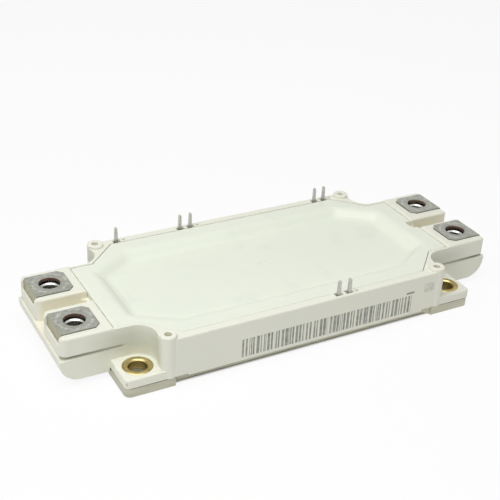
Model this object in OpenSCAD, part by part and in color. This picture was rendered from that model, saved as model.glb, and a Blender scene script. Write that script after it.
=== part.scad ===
// Dual IGBT power module with two screw terminals at each end.
// Millimetres. X runs along the module, +Z up. The origin is the centre of the
// underside of the base plate.

/* [Housing] */
// Length of the terminal blocks beyond the base plate
overhang = 15; // [14:0.1:16]
// Length of the terminal blocks beyond the lid
block_l = 16.5; // [16:0.1:17]
// Height of the rim and of the lid above the heatsink
rim_z = 16; // [15.5:0.1:18]
// Width of the rim beside the lid
rim_w = 2.8; // [2.6:0.1:3.2]
// Plastic on the outer sides of the terminals
block_wall = 2.2; // [1.8:0.1:2.6]
// Thickness of the wall between the cavity and the terminal gap
end_wall_t = 4.4; // [4:0.1:4.8]
// Depth that the side skirts hang below the seat on the base plate
skirt_drop = 0.6; // [0.2:0.1:1.2]
// Height of the shelf that carries the inner ends of the pins
shelf_z = 7.5; // [6.9:0.1:8]
// Width of that shelf
shelf_w = 3; // [2.6:0.1:3.4]

/* [Base plate] */
// Thickness of the base plate
plate_t = 3; // [2.6:0.1:3.4]
// How far each long edge steps in between the ears
waist_in = 2; // [1.5:0.1:2.5]
// Length of the ears, from each end of the plate
ear_l = 17.4; // [16:0.2:19]
// Corner radius of the plate
plate_r = 2; // [1:0.1:2.5]
// Thickness of the adhesive under the housing
glue_t = 0.2; // [0.1:0.05:0.3]
// How far the adhesive stays behind the edge of the plate
glue_in = 0.8; // [0.5:0.1:1]

/* [Mounting feet] */
// Distance from the edges of the plate to the mounting holes
hole_inset = 6; // [5.6:0.1:6.6]
// Distance from the outer substrates to the mounting holes
hole_from_row = 7; // [6.6:0.1:8]
// Diameter of the mounting holes
hole_d = 5.5; // [5:0.1:6]
// Outer diameter of the brass bushings
bushing_d = 9; // [8.4:0.1:9.6]
// Chamfer on the rims of the bushings
bushing_chamfer = 0.4; // [0.2:0.1:0.6]
// How far the bushings stand proud of the plastic feet
bushing_proud = 0.1; // [0.05:0.05:0.3]
// Height of the plastic feet
foot_z = 6; // [5.4:0.1:6.6]
// Diameter of the spanner clearance round each bushing
relief_d = 11.6; // [11:0.1:12]
// Corner radius of the feet
foot_r = 1.5; // [0.8:0.1:2]

/* [Circuit board bosses] */
// Distance from the mounting holes to the bosses along the module
boss_from_hole = 7.75; // [7.5:0.05:8.5]
// Distance from the outside of the long walls to the middle of the bosses
boss_inset = 2.25; // [2:0.05:2.5]
// Diameter of the bosses
boss_d = 5.2; // [4.8:0.1:5.4]
// Height of the bosses above the rim
boss_rise = 1; // [0.4:0.1:1.4]
// Diameter of the screw holes in the bosses
boss_hole_d = 2.2; // [1.8:0.1:2.5]
// Depth of the screw holes
boss_hole_depth = 9; // [6:0.5:10]

/* [Lid] */
// Thickness of the lid
lid_t = 2; // [1.6:0.1:2.4]
// Gap round the lid
lid_gap = 0.2; // [0.1:0.05:0.3]
// Width of the ledge that carries the lid
ledge_w = 1.6; // [1.2:0.1:2]
// Width of the ledge at the ends of the lid
end_ledge_w = 3.4; // [3:0.1:3.8]
// Length of the notch in the lid before the output terminals
notch_l = 2.3; // [1.8:0.1:2.6]
// Width of that notch
notch_w = 4.4; // [3.8:0.1:4.8]
// Radius of its inner corners
notch_r = 1.2; // [0.6:0.1:1.6]
// Width of the rim left beside the lid at the neck
neck_rim_w = 0.8; // [0.6:0.1:1]
// Thinnest rim between the lid and the spanner clearance
corner_rim_w = 0.95; // [0.6:0.05:1.1]
// Width of the flat border at the ends of the dish
dish_border_end = 6.1; // [5:0.1:8]
// Width of the flat border beside the dish
dish_border_side = 6; // [5:0.1:8]
// Length of the cut corners of the dish, along the module
dish_corner_l = 13.2; // [10:0.2:16]
// Length of the cut corners of the dish, across the module
dish_corner_w = 8.7; // [6:0.2:11]
// Depth of the dish
dish_depth = 3; // [2:0.1:3.4]
// Run of the sloped wall of the dish
dish_run = 3.2; // [2.4:0.1:4]
// Diameter of the gate mark in the middle of the dish
gate_d = 5; // [3:0.5:8]
// Depth of the gate mark
gate_depth = 0.15; // [0.1:0.05:0.3]

/* [Terminals] */
// Distance from the ends of the blocks to the terminal holes
term_inset = 7.5; // [7.2:0.1:8]
// Distance between the terminal holes across the module
term_dy = 22; // [21.6:0.2:23]
// Height of the contact faces above the rim
contact_rise = 1; // [0.7:0.1:1.5]
// Width of the copper straps
strap_w = 12; // [11.4:0.1:12.6]
// Thickness of the copper straps
strap_t = 1.1; // [0.8:0.1:1.2]
// From the hole to the free end of the contact face
strap_in = 6; // [5.6:0.1:6.2]
// Chamfer on the corners of the free end
strap_chamfer = 1.7; // [1:0.1:2]
// Rounding of the outer bend, as a chamfer
bend_chamfer = 0.4; // [0.2:0.1:0.6]
// Diameter of the holes in the contact faces
term_hole_d = 6.5; // [6.2:0.1:6.8]
// Width of the straps inside the cavity
inner_strap_w = 8; // [6:0.5:9]
// Height of the underside of the buried run of the straps
run_z = 6.8; // [6.7:0.1:7]
// Length of the soldered feet of the straps
solder_foot_l = 3.5; // [3:0.1:3.8]
// Gap between the soldered feet and the chips
foot_gap = 0.5; // [0.3:0.1:0.8]

/* [Terminal blocks] */
// Height of the top of the blocks above the rim
block_rise = 0.6; // [0.2:0.1:0.7]
// Height of the upper side of the lower half, and of the floor of the gap
waterline_z = 9.4; // [9.2:0.1:9.6]
// Height of the underside of the blocks
belly_z = 1.8; // [1.5:0.1:2.2]
// Radius of the curved underside at the ends
end_r = 6.3; // [5.5:0.1:6.5]
// How far the upper halves are set back from the ends
upper_setback = 0.6; // [0.2:0.1:0.7]
// Radius of the upright corners
block_r = 1.8; // [1:0.1:2]
// Radius of the top edge at the ends
block_end_r = 1.6; // [1:0.1:2]
// Radius of the other top edges of the blocks
block_edge_r = 0.8; // [0.4:0.1:1]
// Width of the gap between the direct current terminals
gap_dc_w = 5.6; // [4.6:0.1:6]
// Middle of that gap across the module
gap_dc_y = 0.3; // [-0.6:0.1:0.6]
// Width of the gap between the output terminals
gap_ac_w = 5.2; // [4.6:0.1:5.6]
// Middle of that gap across the module
gap_ac_y = -0.8; // [-1.2:0.1:0.6]
// Radius of the inner corners of the gaps
gap_r = 1.6; // [1:0.1:2]
// Depth of the groove round the blocks at their ends
groove_depth = 1.2; // [0.8:0.1:1.4]
// Height of the groove
groove_h = 1; // [0.7:0.1:1.2]
// Chamfer on the lower edge of the groove
groove_lip = 0.3; // [0.2:0.05:0.4]
// Height of the pocket that shows the bend of the strap
bend_pocket_h = 3.4; // [2:0.1:4]
// Depth of the cored pockets in the underside
core_depth = 3; // [2:0.1:3.6]
// Thickness of the ribs between the cored pockets
core_rib_t = 1.4; // [1:0.1:2]

/* [Nuts] */
// Width of the M6 nuts over their flats
nut_af = 10; // [9.8:0.1:10]
// Height of the nuts
nut_h = 5; // [4.6:0.1:5.2]
// Bore of the nuts, at the crests of the thread
nut_bore_d = 5; // [4.8:0.1:5.2]
// Depth of the chamfer at the mouth of the bore
nut_chamfer = 0.5; // [0.3:0.1:0.6]
// Gap between the nut and the strap above it
nut_play = 0.6; // [0.3:0.1:0.7]
// Clearance round the flats of the nut
nut_gap = 0.1; // [0.05:0.05:0.15]

/* [Control pins] */
// Height of the pin tips above the rim
pin_rise = 5; // [3:0.1:8]
// Distance from the outside of the long walls to the pins
pin_inset = 1.7; // [1.6:0.1:1.9]
// Pitch of the pins within a pair
pin_pitch = 3.81; // [3.4:0.01:4.2]
// Width of the pins where they leave the rim
pin_w = 1.3; // [1:0.05:1.4]
// Width of the pins at their tips
pin_tip_w = 0.9; // [0.6:0.05:1]
// Thickness of the pins
pin_t = 0.8; // [0.6:0.05:0.9]
// Length of the chamfer at the tips
pin_chamfer = 0.5; // [0.2:0.1:0.8]
// Length of the bonded feet of the pins on the shelf
pin_foot_l = 2.6; // [2:0.1:2.9]
// Width of the slots in the rim round the pins
slot_w = 2.6; // [2.2:0.1:3]
// Depth of those slots
slot_depth = 1.2; // [0.6:0.1:1.6]
// Clearance between the slots and the outer face of the pins
slot_gap = 0.2; // [0.1:0.05:0.3]
// Distance from a pin to the key slot beside it
key_from_pin = 2.7; // [2.4:0.1:3]
// Width and depth of the key slots
key_w = 0.8; // [0.5:0.1:1]
// Distance from the left boss to the single pin of the rear row
sense_pin_from_boss = 7.45; // [6.5:0.05:10]
// Distance from the right boss to the last pin of the rear row
last_pin_from_boss = 7.15; // [6.5:0.05:10]
// Place of the first pin of the middle pair of the rear row
rear_pair_x = -16.8; // [-24:0.1:-4]
// Place of the first pin of the front pair
front_pair_x = 9.5; // [0:0.1:30]

/* [Inside] */
// Length of each ceramic substrate
ceramic_l = 30; // [29.5:0.1:32]
// Gap between neighbouring substrates
substrate_gap = 3; // [2:0.1:4]
// How far the substrates are narrower than the neck
ceramic_in = 0.2; // [0:0.1:1]
// Thickness of the ceramic
ceramic_t = 0.6; // [0.4:0.1:0.8]
// Thickness of the solder and lower copper
solder_t = 0.4; // [0.2:0.1:0.6]
// Border of ceramic round the solder
solder_in = 0.5; // [0.3:0.1:1]
// Thickness of the circuit copper
circuit_t = 0.3; // [0.2:0.1:0.4]
// Border of bare ceramic round the circuit copper
circuit_in = 1; // [0.6:0.1:1.4]
// Gap between the circuit tracks
track_gap = 1; // [0.6:0.1:1.4]
// Width of the middle track
middle_track_w = 2; // [1.6:0.1:2.6]
// Side of the square transistor chips
igbt_l = 11; // [10:0.1:11.4]
// Length of the diode chips
diode_l = 8; // [7:0.1:8.4]
// Width of the diode chips
diode_w = 10; // [8:0.1:11]
// Gap between the transistor and the diode
chip_gap = 2; // [1.6:0.1:2.4]
// Thickness of the chips with their solder
chip_t = 0.2; // [0.1:0.05:0.3]
// Diameter of the bond wires
wire_d = 0.4; // [0.3:0.05:0.5]
// Distance between neighbouring bond wires
wire_pitch = 1.8; // [1.2:0.1:2.2]
// Distance from the edges of the chips to the ends of the wires
wire_in = 2; // [1:0.1:3]
// Gap between the lid and the surface of the silicone gel
air_gap = 1.4; // [1:0.1:2]
// Length of the thermistor
ntc_l = 3.2; // [2:0.1:4]
// Width of the thermistor
ntc_w = 1.4; // [1:0.1:1.6]
// Height of the thermistor
ntc_h = 0.8; // [0.5:0.1:1.2]

/* [Hidden] */
$fn = 48;

fit = 0.05;              // clearance of a moulded-in part in its slot
eps = 0.5;               // overrun of a cut past the face that it opens
plastic = [0.93, 0.94, 0.88];

// Along the module, from the row of three substrates out to the ends.
substrate_pitch = ceramic_l + substrate_gap;
row_x = substrate_pitch + ceramic_l / 2;
hole_x = row_x + hole_from_row;
plate_x = hole_x + hole_inset;
ear_x = plate_x - ear_l;
end_x = plate_x + overhang;
upper_x = end_x - upper_setback;
block_x = end_x - block_l;
boss_x = hole_x - boss_from_hole;
term_x = end_x - term_inset;
term_end_x = term_x + nut_af / 2 + nut_gap + strap_t;

// Across the module, from the terminals out to the long walls.
term_y = term_dy / 2;
neck_y = term_y + strap_w / 2 + block_wall;
relief_r = relief_d / 2;
hole_y = neck_y + relief_r;
body_y = hole_y + hole_inset;
waist_y = body_y - waist_in;
boss_y = body_y - boss_inset;
boss_r = boss_d / 2;

seat_z = plate_t + glue_t;
block_z = rim_z + block_rise;
boss_z = rim_z + boss_rise;
contact_z = rim_z + contact_rise;
pin_z = rim_z + pin_rise;

// The lid is a rectangle with a neck at each end and 45 degree corners that
// clear the spanner reliefs.
lid_x = block_x - lid_gap;
lid_y = body_y - rim_w - lid_gap;
lid_neck_y = neck_y - neck_rim_w - lid_gap;
lid_diagonal = hole_x + hole_y - sqrt(2) * (relief_r + corner_rim_w + lid_gap);
lid_floor_z = rim_z - lid_t;
cavity_x = lid_x - end_ledge_w;
cavity_y = lid_y - ledge_w;
gap_x = cavity_x + end_wall_t;
shelf_y = cavity_y - shelf_w;
gel_z = rim_z - dish_depth - lid_t - air_gap;

pin_y = body_y - pin_inset;
last_pin_x = boss_x - last_pin_from_boss;
pin_xs = [
    sense_pin_from_boss - boss_x, rear_pair_x, rear_pair_x + pin_pitch,
    last_pin_x - pin_pitch, last_pin_x,
    front_pair_x, front_pair_x + pin_pitch
];
pin_sides = [1, 1, 1, 1, 1, -1, -1];
key_pins = [0, 2, 4, 6];

nut_top_z = contact_z - strap_t - nut_play;
nut_floor_z = nut_top_z - nut_h;

ceramic_y = neck_y - ceramic_in;
ceramic_z = plate_t + solder_t;
circuit_z = ceramic_z + ceramic_t;
pad_z = circuit_z + circuit_t;
chip_top_z = pad_z + chip_t;
circuit_x = ceramic_l / 2 - circuit_in;
circuit_y = ceramic_y - circuit_in;
track_y = middle_track_w / 2 + track_gap;
chip_y = (track_y + circuit_y) / 2;
strap_leg_x = row_x - circuit_in - strap_t;
igbt_x = solder_foot_l + foot_gap + igbt_l / 2 - circuit_x;
diode_x = igbt_x + igbt_l / 2 + chip_gap + diode_l / 2;

module at_corners() {
    for (mx = [0, 1], my = [0, 1])
        mirror([mx, 0, 0]) mirror([0, my, 0]) children();
}

module at_ends() {
    for (mx = [0, 1])
        mirror([mx, 0, 0]) children();
}

module at_sides() {
    for (my = [0, 1])
        mirror([0, my, 0]) children();
}

// A rectangle from corner to corner with round corners, as a flat outline.
module rounded(from, to, r) {
    size = to - from;
    translate(from + [r, 0]) square([size.x - 2 * r, size.y]);
    translate(from + [0, r]) square([size.x, size.y - 2 * r]);
    for (x = [from.x + r, to.x - r], y = [from.y + r, to.y - r])
        translate([x, y]) circle(r);
}

// A flat X-Z profile carried along Y, and a flat Y-Z profile carried along X.
module along_y(y0, y1) {
    translate([0, y1, 0]) rotate([90, 0, 0]) linear_extrude(y1 - y0) children();
}

module along_x(x0, x1) {
    translate([x0, 0, 0]) rotate([90, 0, 90]) linear_extrude(x1 - x0) children();
}

module box(from, to) {
    translate(from) cube(to - from);
}

// ---- base plate and what stands on it

module plate_outline() {
    difference() {
        rounded([-plate_x, -body_y], [plate_x, body_y], plate_r);
        at_sides() translate([-ear_x, waist_y]) square([2 * ear_x, 2 * waist_in]);
        at_corners() translate([ear_x, body_y]) circle(waist_in);
    }
}

module base_plate() {
    color([0.72, 0.70, 0.63]) difference() {
        linear_extrude(plate_t) plate_outline();
        at_corners() translate([hole_x, hole_y, -eps]) cylinder(d = hole_d, h = plate_t + 2 * eps);
    }
}

module adhesive_bead() {
    color([0.85, 0.85, 0.82]) translate([0, 0, plate_t]) difference() {
        linear_extrude(glue_t) union() {
            square(2 * [plate_x - glue_in, neck_y - glue_in], center = true);
            square(2 * [boss_x, waist_y - glue_in], center = true);
            at_corners() rounded([boss_x - 2 * foot_r, neck_y - 2 * foot_r],
                [plate_x - glue_in, body_y - glue_in], foot_r);
        }
        translate([0, 0, -eps]) linear_extrude(glue_t + 2 * eps) cavity_outline(shelf_y);
        at_corners() translate([hole_x, hole_y, -eps])
            cylinder(d = bushing_d + glue_in, h = glue_t + 2 * eps);
    }
}

module bushing() {
    top_z = foot_z + bushing_proud;
    mid_r = (hole_d + bushing_d) / 4;
    half_w = (bushing_d - hole_d) / 4;
    c = bushing_chamfer;
    color([0.78, 0.66, 0.36]) rotate_extrude() polygon([
        [mid_r - half_w, plate_t], [mid_r + half_w, plate_t], [mid_r + half_w, top_z - c / 2],
        [mid_r + half_w - c / 2, top_z], [mid_r - half_w + c, top_z], [mid_r - half_w, top_z - c]
    ]);
}

module bushing_at(sx, sy) {
    translate([sx * hole_x, sy * hole_y, 0]) bushing();
}

// ---- housing

// The outline of the lid, grown by g all round.
function lid_points(g) = let (
        x = lid_x + g, y = lid_y + g, n = lid_neck_y + g, s = lid_diagonal + g * sqrt(2)
    ) [
        [x, n], [s - n, n], [s - y, y], [y - s, y], [n - s, n], [-x, n],
        [-x, -n], [n - s, -n], [y - s, -y], [s - y, -y], [s - n, -n], [x, -n]
    ];

// The cavity is the lid's outline less the ledges, held to half width y.
module cavity_outline(y) {
    intersection() {
        polygon(lid_points(-ledge_w));
        square(2 * [cavity_x, y], center = true);
    }
}

// The walls: long sides, bosses, shoulders and necks, with the spanner reliefs
// cut out of the corners.
module wall_outline() {
    difference() {
        union() {
            square(2 * [boss_x, body_y], center = true);
            square(2 * [boss_x + boss_r, boss_y], center = true);
            square(2 * [hole_x, hole_y], center = true);
            square(2 * [block_x, neck_y], center = true);
            at_corners() translate([boss_x, boss_y]) circle(boss_r);
        }
        at_corners() translate([hole_x, hole_y]) circle(relief_r);
    }
}

// One foot, at +X +Y. Its inner part runs into the walls.
module foot() {
    translate([0, 0, seat_z]) linear_extrude(foot_z - seat_z)
        rounded([boss_x, neck_y - 2 * foot_r], [plate_x, body_y], foot_r);
}

// The skirt covers the stepped-in edge of the base plate between the ears.
module skirt() {
    x = ear_x - waist_in;
    box([-x, waist_y + lid_gap, seat_z - skirt_drop], [x, body_y, seat_z + eps]);
}

// The lower half of a terminal block at +X, with its curved underside.
module lower_block() {
    from_x = plate_x + lid_gap;
    along_y(-neck_y, neck_y) intersection() {
        translate([block_x - eps, belly_z]) square([end_x - block_x + eps, waterline_z - belly_z]);
        union() {
            translate([block_x - eps, seat_z]) square([from_x - block_x + 2 * eps, waterline_z]);
            translate([from_x, belly_z]) square([end_x - end_r - from_x, waterline_z]);
            translate([end_x - end_r, belly_z + end_r]) circle(end_r);
            translate([end_x - end_r, belly_z + end_r]) square([end_r, waterline_z]);
        }
    }
}

// One upper half at +X between y0 and y1, with rounded top edges. Its inner
// corners stay square, so that it runs into the neck.
module upper_block(y0, y1) {
    below = waterline_z - 2;
    intersection() {
        translate([0, 0, below]) linear_extrude(block_z - below)
            rounded([block_x - 2 * block_r, y0], [upper_x, y1], block_r);
        along_y(y0, y1) rounded([block_x, below - 2], [upper_x, block_z], block_edge_r);
        along_y(y0, y1) rounded([block_x - 2, below - 2], [upper_x, block_z], block_end_r);
        along_x(block_x, upper_x) rounded([y0, below - 2], [y1, block_z], block_edge_r);
    }
}

// The groove between the halves tapers out towards the neck. Its lower edge
// is chamfered.
module groove() {
    top = waterline_z + groove_h;
    run = upper_x - hole_x;
    angle = atan(groove_depth / run);
    at_sides() translate([upper_x, neck_y - groove_depth, 0]) rotate(180 - angle)
        along_x(-2, run) polygon([
            [0, waterline_z], [0, top], [-3, top], [-3, waterline_z - groove_lip],
            [-groove_depth, waterline_z - groove_lip], [groove_lip - groove_depth, waterline_z]
        ]);
}

// The straight profile of a strap at +X, grown by g: contact face, bend, the
// run under the nut, the leg and the soldered foot.
module strap_outer_profile(g) {
    translate([term_x - strap_in - g, contact_z - strap_t - g])
        square([term_end_x - strap_t - term_x + strap_in + g, strap_t + g]);
    difference() {
        translate([term_end_x - strap_t - g, run_z - g])
            square([strap_t + 2 * g, contact_z - run_z + g]);
        translate([term_end_x, contact_z]) rotate(45)
            square(bend_chamfer * sqrt(2), center = true);
    }
    translate([cavity_x, run_z - g]) square([term_end_x - cavity_x + g, strap_t + 2 * g]);
}

module strap_inner_profile() {
    translate([strap_leg_x, run_z]) square([cavity_x - strap_leg_x, strap_t]);
    translate([strap_leg_x, pad_z]) square([strap_t, run_z + strap_t - pad_z]);
    translate([strap_leg_x + strap_t - solder_foot_l, pad_z]) square([solder_foot_l, strap_t / 2]);
}

// What the free end of the contact face lacks at its corners, grown by g.
module face_corners(g) {
    side = (strap_chamfer + g * (2 - sqrt(2))) * sqrt(2);
    for (s = [-1, 1])
        translate([term_x - strap_in - g, term_y + s * (strap_w / 2 + g), nut_top_z])
            linear_extrude(contact_z - nut_top_z + eps) rotate(45) square(side, center = true);
}

module strap() {
    difference() {
        union() {
            along_y(term_y - strap_w / 2, term_y + strap_w / 2) strap_outer_profile(0);
            along_y(term_y - inner_strap_w / 2, term_y + inner_strap_w / 2) strap_inner_profile();
        }
        translate([term_x, term_y, nut_top_z]) cylinder(d = term_hole_d, h = contact_z);
        face_corners(0);
    }
}

module nut_blank(af, h) {
    rotate(30) cylinder(d = af / cos(30), h = h, $fn = 6);
}

module nut() {
    c = nut_chamfer;
    translate([term_x, term_y, nut_floor_z]) difference() {
        nut_blank(nut_af, nut_h);
        translate([0, 0, -eps]) cylinder(d = nut_bore_d, h = nut_h + 2 * eps);
        translate([0, 0, nut_h - c])
            cylinder(d1 = nut_bore_d, d2 = nut_bore_d + 4 * c, h = 2 * c);
    }
}

// What one terminal cuts out of its block at +X +Y.
module terminal_cuts() {
    y0 = term_y - strap_w / 2 - fit;
    y1 = term_y + strap_w / 2 + fit;
    difference() {
        union() {
            along_y(y0, y1) strap_outer_profile(fit);
            box([term_x - strap_in - fit, y0, contact_z - strap_t - fit],
                [term_end_x, y1, block_z + eps]);
        }
        face_corners(fit);
    }
    box([term_end_x - strap_t, y0, block_z - bend_pocket_h], [end_x + eps, y1, block_z + eps]);
    translate([term_x, term_y, nut_floor_z]) nut_blank(nut_af + 2 * nut_gap, block_z);
    translate([term_x, term_y, run_z + strap_t]) cylinder(d = term_hole_d, h = nut_h);
}

// What rounding a corner by r takes away, from the centre of the rounding.
module corner_waste(r) {
    difference() {
        square(r + eps);
        circle(r);
    }
}

// The gap between two blocks at +X. Its floor is the waterline, and over the
// inner end the wall stops at the underside of the lid.
module terminal_gap(w, y) {
    translate([0, y, 0]) {
        translate([0, 0, waterline_z]) linear_extrude(block_z)
            rounded([gap_x, -w / 2], [end_x + 2 * gap_r, w / 2], gap_r);
        box([block_x - eps, -w / 2, lid_floor_z], [gap_x + gap_r, w / 2, block_z + eps]);
        at_sides() along_x(block_x - eps, end_x)
            translate([w / 2 + block_edge_r, block_z - block_edge_r]) rotate(90)
                corner_waste(block_edge_r);
        at_sides() translate([upper_x - block_r, w / 2 + block_r, waterline_z])
            rotate(-90) linear_extrude(block_z) corner_waste(block_r);
    }
}

// Cored pockets in the underside of a block at +X.
module core_pockets() {
    x0 = plate_x + lid_gap + core_rib_t;
    x1 = end_x - end_r;
    w = (2 * neck_y - 4 * core_rib_t) / 3;
    for (i = [-1, 0, 1])
        translate([x0, i * (w + core_rib_t) - w / 2, belly_z - eps])
            cube([x1 - x0, w, core_depth + eps]);
}

// A slot in the rim round each pin, the buried part of the pin, and the small
// key slot beside each group.
module pin_cuts() {
    slot_y = pin_y + pin_t / 2 + slot_gap;
    for (i = [0 : len(pin_xs) - 1]) scale([1, pin_sides[i], 1]) {
        box([pin_xs[i] - slot_w / 2, lid_y, rim_z - slot_depth],
            [pin_xs[i] + slot_w / 2, slot_y, rim_z + eps]);
        translate([pin_xs[i], 0, 0]) pin_body(fit);
    }
    for (i = key_pins) scale([1, pin_sides[i], 1])
        translate([pin_xs[i] + key_from_pin, pin_y, rim_z])
            cube([key_w, key_w, 2 * key_w], center = true);
}

module housing_frame() {
    color(plastic) difference() {
        union() {
            translate([0, 0, seat_z]) linear_extrude(rim_z - seat_z) wall_outline();
            at_corners() translate([boss_x, boss_y, seat_z]) cylinder(r = boss_r, h = boss_z - seat_z);
            at_corners() foot();
            at_sides() skirt();
            at_ends() lower_block();
            at_ends() upper_block(-neck_y, neck_y);
        }
        translate([0, 0, seat_z - eps]) linear_extrude(shelf_z - seat_z + eps)
            cavity_outline(shelf_y);
        translate([0, 0, shelf_z]) linear_extrude(rim_z) cavity_outline(cavity_y);
        translate([0, 0, lid_floor_z]) linear_extrude(rim_z) polygon(lid_points(lid_gap));
        at_corners() translate([hole_x, hole_y, seat_z - eps])
            cylinder(d = bushing_d + 2 * fit, h = foot_z);
        at_corners() translate([boss_x, boss_y, boss_z - boss_hole_depth])
            cylinder(d = boss_hole_d, h = boss_hole_depth + eps);
        at_corners() terminal_cuts();
        at_ends() groove();
        at_ends() core_pockets();
        mirror([1, 0, 0]) terminal_gap(gap_dc_w, gap_dc_y);
        terminal_gap(gap_ac_w, gap_ac_y);
        pin_cuts();
    }
}

// ---- lid

// An eight-sided bowl from half sizes at z1 that narrows by run down to z0.
module bowl(grow, z0, z1, run) {
    x = lid_x - dish_border_end + grow;
    y = lid_y - dish_border_side + grow;
    angle = atan2(dish_corner_l, dish_corner_w);
    diagonal = (x - grow - dish_corner_l) * cos(angle) + (y - grow) * sin(angle) + grow;
    reach = 2 * end_x;
    intersection() {
        along_x(-reach, reach)
            polygon([[-y, z1], [y, z1], [y - run, z0], [run - y, z0]]);
        along_y(-reach, reach)
            polygon([[-x, z1], [x, z1], [x - run, z0], [run - x, z0]]);
        intersection_for (a = [angle, -angle]) rotate(a) along_y(-reach, reach)
            polygon([
                [-diagonal, z1], [diagonal, z1], [diagonal - run, z0], [run - diagonal, z0]
            ]);
    }
}

module lid() {
    wall_run = lid_t * 0.6;
    slope = dish_run / dish_depth;
    floor_z = rim_z - dish_depth;
    color(plastic) difference() {
        union() {
            translate([0, 0, lid_floor_z]) linear_extrude(lid_t) polygon(lid_points(0));
            bowl(wall_run, floor_z - lid_t, lid_floor_z + eps, (dish_depth + eps) * slope);
        }
        bowl(0, floor_z, rim_z, dish_run);
        bowl(0, rim_z - eps / 100, rim_z + eps, 0);
        translate([0, 0, lid_floor_z - eps]) linear_extrude(lid_t + 2 * eps)
            rounded([lid_x - notch_l, -notch_w / 2], [lid_x + 2 * notch_r, notch_w / 2], notch_r);
        translate([0, 0, floor_z - gate_depth]) cylinder(d = gate_d, h = gate_depth + eps);
    }
}

// ---- control pins

// The pin at X = 0 on the rear side, grown by g: the bonded foot on the shelf and
// the part that is buried in the wall.
module pin_body(g) {
    y0 = pin_y - pin_t / 2;
    box([-pin_w / 2 - g, y0 - g, shelf_z - g], [pin_w / 2 + g, y0 + pin_t + g, rim_z - slot_depth + g]);
    box([-pin_w / 2 - g, cavity_y - pin_foot_l, shelf_z], [pin_w / 2 + g, y0 + g, shelf_z + pin_t + g]);
}

module control_pin(i) {
    base_z = rim_z - slot_depth;
    color([0.75, 0.75, 0.73]) translate([pin_xs[i], 0, 0]) scale([1, pin_sides[i], 1]) {
        pin_body(0);
        along_y(pin_y - pin_t / 2, pin_y + pin_t / 2) polygon([
            [-pin_w / 2, base_z - eps], [pin_w / 2, base_z - eps], [pin_w / 2, base_z],
            [pin_tip_w / 2, pin_z - pin_chamfer], [pin_tip_w / 4, pin_z],
            [-pin_tip_w / 4, pin_z], [-pin_tip_w / 2, pin_z - pin_chamfer], [-pin_w / 2, base_z]
        ]);
    }
}

// ---- inside the cavity

// Substrate i stands at its place along the module. The last one is turned
// round, so that its free end faces the output terminals.
module on_substrate(i) {
    translate([(i - 1) * substrate_pitch, 0, 0]) mirror([i == 2 ? 1 : 0, 0, 0]) children();
}

module solder_layer(i) {
    x = ceramic_l / 2 - solder_in;
    y = ceramic_y - solder_in;
    color([0.6, 0.6, 0.62]) on_substrate(i) box([-x, -y, plate_t], [x, y, ceramic_z]);
}

module ceramic(i) {
    x = ceramic_l / 2;
    color([0.95, 0.95, 0.93]) on_substrate(i) box([-x, -ceramic_y, ceramic_z], [x, ceramic_y, circuit_z]);
}

// Two chip tracks and the middle track between them.
module circuit_copper(i) {
    color([0.80, 0.50, 0.32]) on_substrate(i) translate([0, 0, circuit_z]) {
        at_sides() translate([-circuit_x, track_y, 0])
            cube([2 * circuit_x, circuit_y - track_y, circuit_t]);
        translate([-circuit_x, -middle_track_w / 2, 0])
            cube([2 * circuit_x, middle_track_w, circuit_t]);
    }
}

// Chips 0, 2 and 4 lie on the rear tracks, chips 1, 3 and 5 on the front ones.
module chip(i, x, l, w) {
    on_substrate(floor(i / 2)) translate([x - l / 2, (i % 2 == 0 ? 1 : -1) * chip_y - w / 2, pad_z])
        cube([l, w, chip_t]);
}

module igbt_chip(i) {
    color([0.45, 0.46, 0.50]) chip(i, igbt_x, igbt_l, igbt_l);
}

module diode_chip(i) {
    color([0.52, 0.53, 0.56]) chip(i, diode_x, diode_l, diode_w);
}

// A wire loop from (0, 0, 0) along +X over the span, with its far end lower by drop.
module wire_loop(span, drop) {
    r = span / 2;
    along_y(-wire_d / 2, wire_d / 2) {
        translate([r, 0]) difference() {
            circle(r + wire_d / 2);
            circle(r - wire_d / 2);
            translate([-span, -span]) square([2 * span, span]);
        }
        translate([span - wire_d / 2, -drop]) square([wire_d, drop + eps / 100]);
    }
}

// Four wires hop from each transistor to its diode, and four run on from there
// to the middle track.
module bond_wires(i) {
    from_x = igbt_x + igbt_l / 2 - 1.5 * wire_in;
    to_x = diode_x - diode_l / 2 + wire_in / 2;
    from_y = chip_y - diode_w / 2 + wire_in / 2;
    color([0.86, 0.86, 0.87]) on_substrate(i) for (k = [-1.5:1:1.5]) at_sides() {
        translate([from_x, chip_y + k * wire_pitch, chip_top_z]) wire_loop(to_x - from_x, 0);
        translate([diode_x + k * wire_pitch, from_y, chip_top_z]) rotate(-90)
            wire_loop(from_y, chip_t);
    }
}

module thermistor() {
    color([0.15, 0.15, 0.16]) on_substrate(1)
        translate([circuit_in - circuit_x, -ntc_w / 2, pad_z]) cube([ntc_l, ntc_w, ntc_h]);
}

// The gel fills the cavity round everything that stands in it.
module silicone_gel() {
    color([0.80, 0.86, 0.88, 0.5]) difference() {
        union() {
            translate([0, 0, plate_t]) linear_extrude(shelf_z - plate_t) cavity_outline(shelf_y);
            translate([0, 0, shelf_z]) linear_extrude(gel_z - shelf_z) cavity_outline(cavity_y);
        }
        for (i = [0:2]) {
            solder_layer(i);
            ceramic(i);
            circuit_copper(i);
            bond_wires(i);
        }
        for (i = [0:5]) {
            igbt_chip(i);
            diode_chip(i);
        }
        for (i = [0:6]) control_pin(i);
        at_corners() strap();
        thermistor();
    }
}

module terminal_at(sx, sy) {
    color([0.70, 0.71, 0.68]) scale([sx, sy, 1]) strap();
}

module nut_at(sx, sy) {
    color([0.82, 0.82, 0.80]) scale([sx, sy, 1]) nut();
}

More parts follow.
